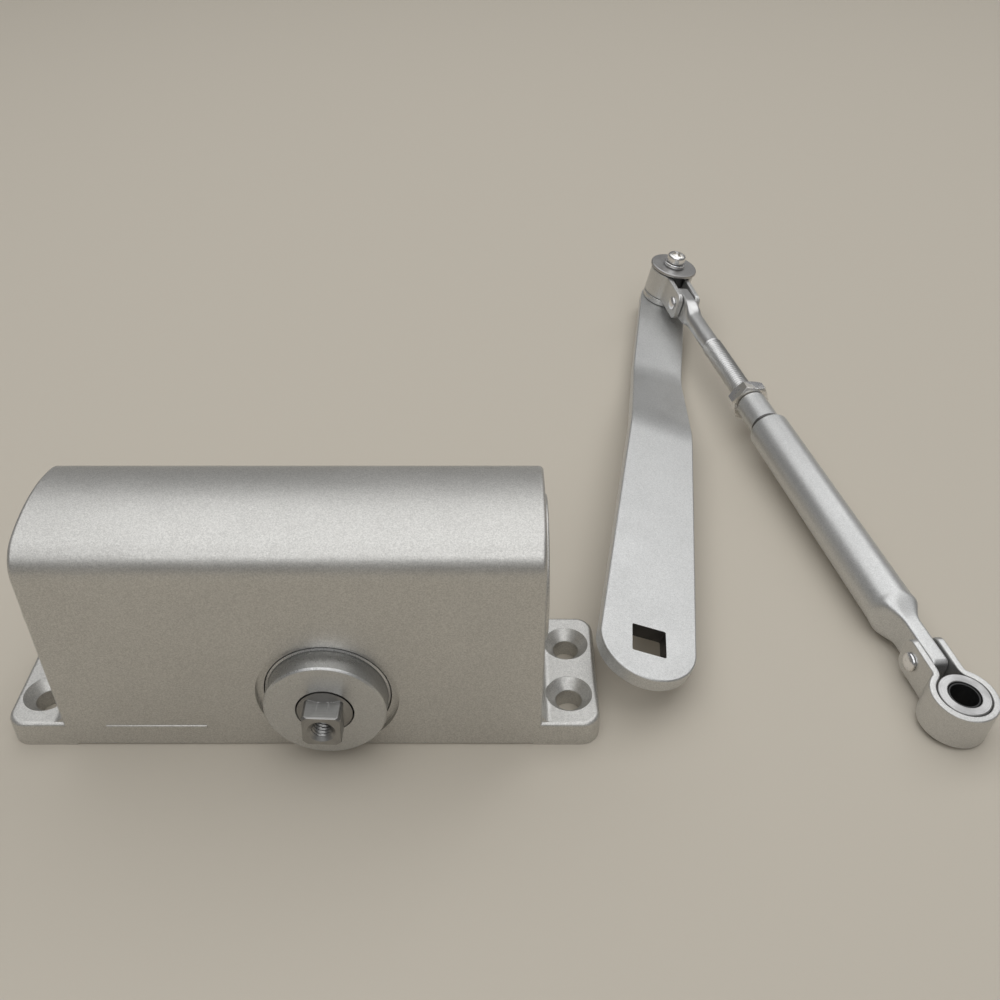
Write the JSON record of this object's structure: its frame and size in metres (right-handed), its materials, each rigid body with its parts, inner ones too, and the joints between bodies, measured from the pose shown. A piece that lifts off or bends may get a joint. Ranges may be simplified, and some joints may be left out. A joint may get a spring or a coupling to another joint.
{
  "type": "door closer",
  "caption": "Surface mounted rack and pinion door closer body with lugs and a square ended spindle, beside its loose two-part arm with adjustable forearm.",
  "frame": {"origin": "middle of the closer body's flat mounting face", "axes": "+Z away from the mounting face, X along the closer body, -Y towards the front end of the spindle"},
  "size_m": [0.2646, 0.2697, 0.0686],
  "materials": {
    "body_paint": "cast alloy with silver metallic paint",
    "silver_paint": "silver metallic paint",
    "machined_steel": "turned steel",
    "bright_zinc": "bright zinc plate",
    "spring_steel": "oiled spring wire",
    "brass": "turned brass",
    "seal_rubber": "black rubber",
    "liner_black": "black bearing plastic"
  },
  "bodies": {
    "closer": {"housing": "body_paint", "end_plug_right": "silver_paint", "end_plug_left": "silver_paint", "plug_seal_right": "seal_rubber", "plug_seal_left": "seal_rubber", "bearing_cap_front": "silver_paint", "bearing_cap_rear": "silver_paint", "spindle_bearing_front": "machined_steel", "spindle_bearing_rear": "machined_steel", "spindle_seal_front": "seal_rubber", "spindle_seal_rear": "seal_rubber", "closing_spring": "spring_steel", "spring_seat": "machined_steel"},
    "spindle": {"pinion_shaft": "machined_steel"},
    "piston_carriage": {"piston": "machined_steel", "check_valve_ball": "bright_zinc", "check_valve_plug": "brass"},
    "sweep_valve": {"sweep_valve_screw": "brass", "sweep_valve_seal": "seal_rubber"},
    "latch_valve": {"latch_valve_screw": "brass", "latch_valve_seal": "seal_rubber"},
    "arm": {"main_arm": "silver_paint", "elbow_stud": "machined_steel", "elbow_washer": "machined_steel", "elbow_spring_washer": "bright_zinc", "elbow_screw": "bright_zinc"},
    "elbow": {"elbow_sleeve": "machined_steel", "elbow_strap": "silver_paint", "elbow_rivet": "bright_zinc"},
    "rod": {"adjusting_rod": "machined_steel"},
    "nut": {"lock_nut": "bright_zinc"},
    "tube": {"forearm_tube": "silver_paint"},
    "shoe": {"shoe_strap": "silver_paint", "shoe_rivet": "bright_zinc"},
    "shoe_ring": {"shoe_sleeve": "machined_steel", "shoe_liner": "liner_black"}
  },
  "joints": [
    {"name": "spindle_turn", "type": "hinge", "parent": "closer", "child": "spindle", "pos_m": [0.0077, 0, 0.0188], "axis": [0, -1, 0], "range_deg": [0, 150], "stiffness_Nm_per_rad": 1.2},
    {"name": "piston_travel", "type": "slide", "parent": "closer", "child": "piston_carriage", "axis": [1, 0, 0], "range_m": [-0.0289, 0], "deforming": ["closing_spring"]},
    {"name": "sweep_valve_turn", "type": "hinge", "parent": "closer", "child": "sweep_valve", "pos_m": [0.0626, -0.0125, 0.015], "axis": [1, 0, 0], "range_deg": [-180, 360]},
    {"name": "latch_valve_turn", "type": "hinge", "parent": "closer", "child": "latch_valve", "pos_m": [0.0626, 0.0125, 0.015], "axis": [1, 0, 0], "range_deg": [-180, 360]},
    {"name": "arm_lift", "type": "slide", "parent": "closer", "child": "arm", "axis": [0, 0, 1], "range_m": [0, 0.05]},
    {"name": "elbow_swing", "type": "hinge", "parent": "arm", "child": "elbow", "pos_m": [0.12573, 0.22734, 0.0083], "axis": [0.1988, -0.0436, 0.9791], "range_deg": [-7, 200]},
    {"name": "elbow_pivot", "type": "hinge", "parent": "elbow", "child": "rod", "pos_m": [0.13122, 0.2074, 0.01513], "axis": [0.9617, 0.2012, -0.1863], "range_deg": [-10, 8]},
    {"name": "lock_nut_run", "type": "slide", "parent": "rod", "child": "nut", "axis": [-0.1978, 0.9796, 0.0368], "range_m": [0, 0.02]},
    {"name": "length_adjust", "type": "slide", "parent": "rod", "child": "tube", "axis": [0.1978, -0.9796, -0.0368], "range_m": [0, 0.03]},
    {"name": "shoe_pivot", "type": "hinge", "parent": "tube", "child": "shoe", "pos_m": [0.17243, 0.00336, 0.00747], "axis": [0.9766, 0.2002, -0.0785], "range_deg": [-30, 30]},
    {"name": "shoe_turn", "type": "hinge", "parent": "shoe", "child": "shoe_ring", "pos_m": [0.17581, -0.01349, 0.0066], "axis": [0.087, -0.0341, 0.9956], "continuous": true}
  ],
  "couplings": [
    {"joint": "piston_travel", "follows": "spindle_turn", "m_per_rad": -0.011}
  ]
}
